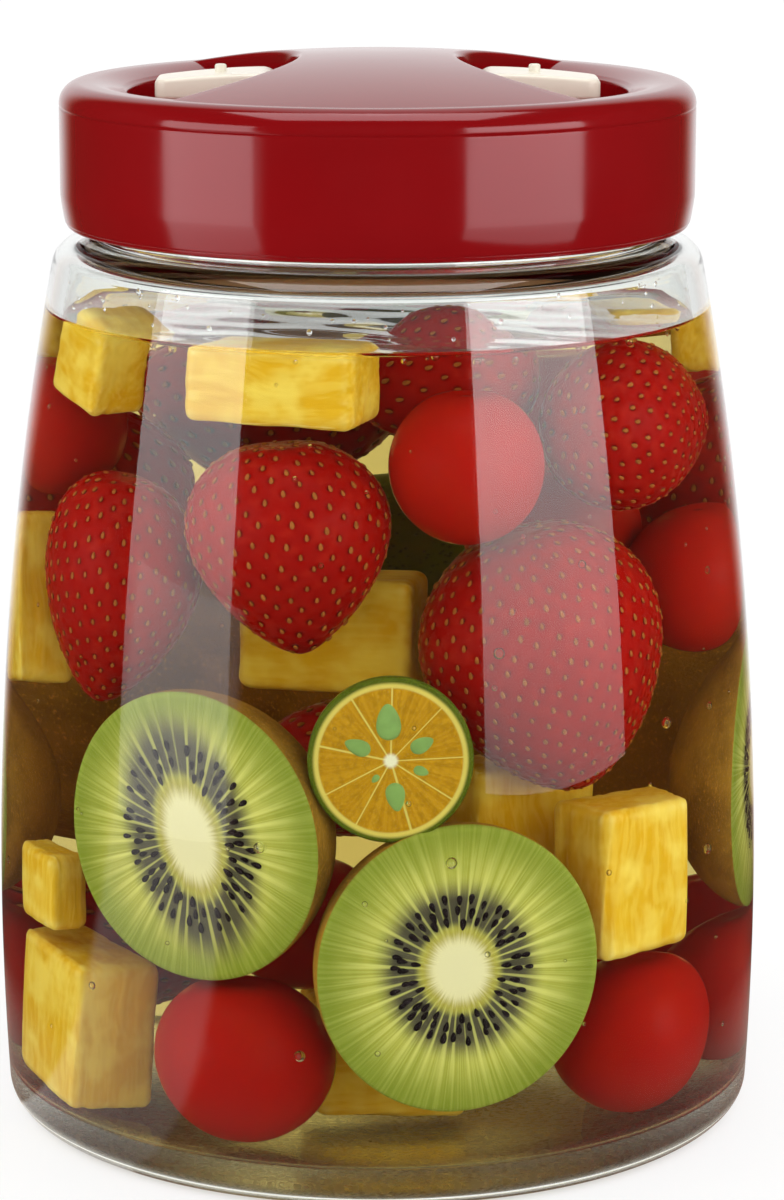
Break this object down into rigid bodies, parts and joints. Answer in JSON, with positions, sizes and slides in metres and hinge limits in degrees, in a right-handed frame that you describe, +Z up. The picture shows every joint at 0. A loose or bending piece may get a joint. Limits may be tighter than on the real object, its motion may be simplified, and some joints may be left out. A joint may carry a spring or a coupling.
{
  "type": "fermentation jar",
  "caption": "Clear glass fermentation jar, wide at the belly, with a red screw lid, a domed grip, flip vents under the grip's sides and a filling of cut fruit.",
  "frame": {"origin": "on the jar's axis, in the plane that the jar stands on", "axes": "+Z up along the jar's axis, -Y the pictured front, +X to the right in the picture; the grip runs along Y"},
  "size_m": [0.147, 0.147, 0.2031],
  "materials": {
    "clear_glass": "clear, polished",
    "red_plastic": "glossy",
    "cream_plastic": "satin",
    "ivory_plastic": "satin gloss",
    "silicone": "soft, milky",
    "pin_steel": "plain",
    "tomato": "wet skin",
    "strawberry": "wet, dimpled skin",
    "kiwi": "wet flesh, brown hairy skin",
    "calamondin": "wet flesh, green rind",
    "pineapple": "wet, fibrous flesh"
  },
  "bodies": {
    "jar": {"calamondin_half_back": "calamondin", "calamondin_half_front": "calamondin", "cherry_tomato_back_high": "tomato", "cherry_tomato_back_low": "tomato", "cherry_tomato_edge_left": "tomato", "cherry_tomato_edge_right": "tomato", "cherry_tomato_front_high": "tomato", "cherry_tomato_front_low": "tomato", "cherry_tomato_inner_high": "tomato", "cherry_tomato_inner_low": "tomato", "cherry_tomato_left_high": "tomato", "cherry_tomato_right_high": "tomato", "cherry_tomato_right_low": "tomato", "glass_jar": "clear_glass", "kiwi_half_back_left": "kiwi", "kiwi_half_back_right": "kiwi", "kiwi_half_centre": "kiwi", "kiwi_half_edge_left": "kiwi", "kiwi_half_left": "kiwi", "kiwi_half_right": "kiwi", "pineapple_back_edge": "pineapple", "pineapple_back_low": "pineapple", "pineapple_back_top": "pineapple", "pineapple_inner_low": "pineapple", "pineapple_inner_right": "pineapple", "pineapple_left": "pineapple", "pineapple_left_low": "pineapple", "pineapple_left_middle": "pineapple", "pineapple_middle": "pineapple", "pineapple_right": "pineapple", "pineapple_top_centre": "pineapple", "pineapple_top_left": "pineapple", "pineapple_top_right": "pineapple", "strawberry_back_centre": "strawberry", "strawberry_back_left": "strawberry", "strawberry_back_low": "strawberry", "strawberry_back_right": "strawberry", "strawberry_centre": "strawberry", "strawberry_inner": "strawberry", "strawberry_inner_top": "strawberry", "strawberry_left": "strawberry", "strawberry_right": "strawberry", "strawberry_upper_right": "strawberry"},
    "seal_ring": {"mouth_gasket": "silicone"},
    "cap": {"cap_shell": "red_plastic", "cap_liner": "cream_plastic", "vent_seat_left": "silicone", "vent_seat_right": "silicone", "hinge_pin_left": "pin_steel", "hinge_pin_right": "pin_steel"},
    "left_lever": {"vent_lever_left": "ivory_plastic", "vent_stopper_left": "silicone"},
    "right_lever": {"vent_lever_right": "ivory_plastic", "vent_stopper_right": "silicone"}
  },
  "joints": [
    {"name": "lid_rise", "type": "slide", "parent": "jar", "child": "seal_ring", "axis": [0, 0, 1], "range_m": [0, 0.036]},
    {"name": "lid_turn", "type": "hinge", "parent": "seal_ring", "child": "cap", "pos_m": [0, 0, 0.187], "axis": [0, 0, 1], "range_deg": [0, 1080]},
    {"name": "left_vent", "type": "hinge", "parent": "cap", "child": "left_lever", "pos_m": [-0.0218, 0, 0.1965], "axis": [0, 1, 0], "range_deg": [0, 100]},
    {"name": "right_vent", "type": "hinge", "parent": "cap", "child": "right_lever", "pos_m": [0.0218, 0, 0.1965], "axis": [0, -1, 0], "range_deg": [0, 100]}
  ],
  "couplings": [
    {"joint": "lid_rise", "follows": "lid_turn", "m_per_rad": 0.0019098}
  ]
}
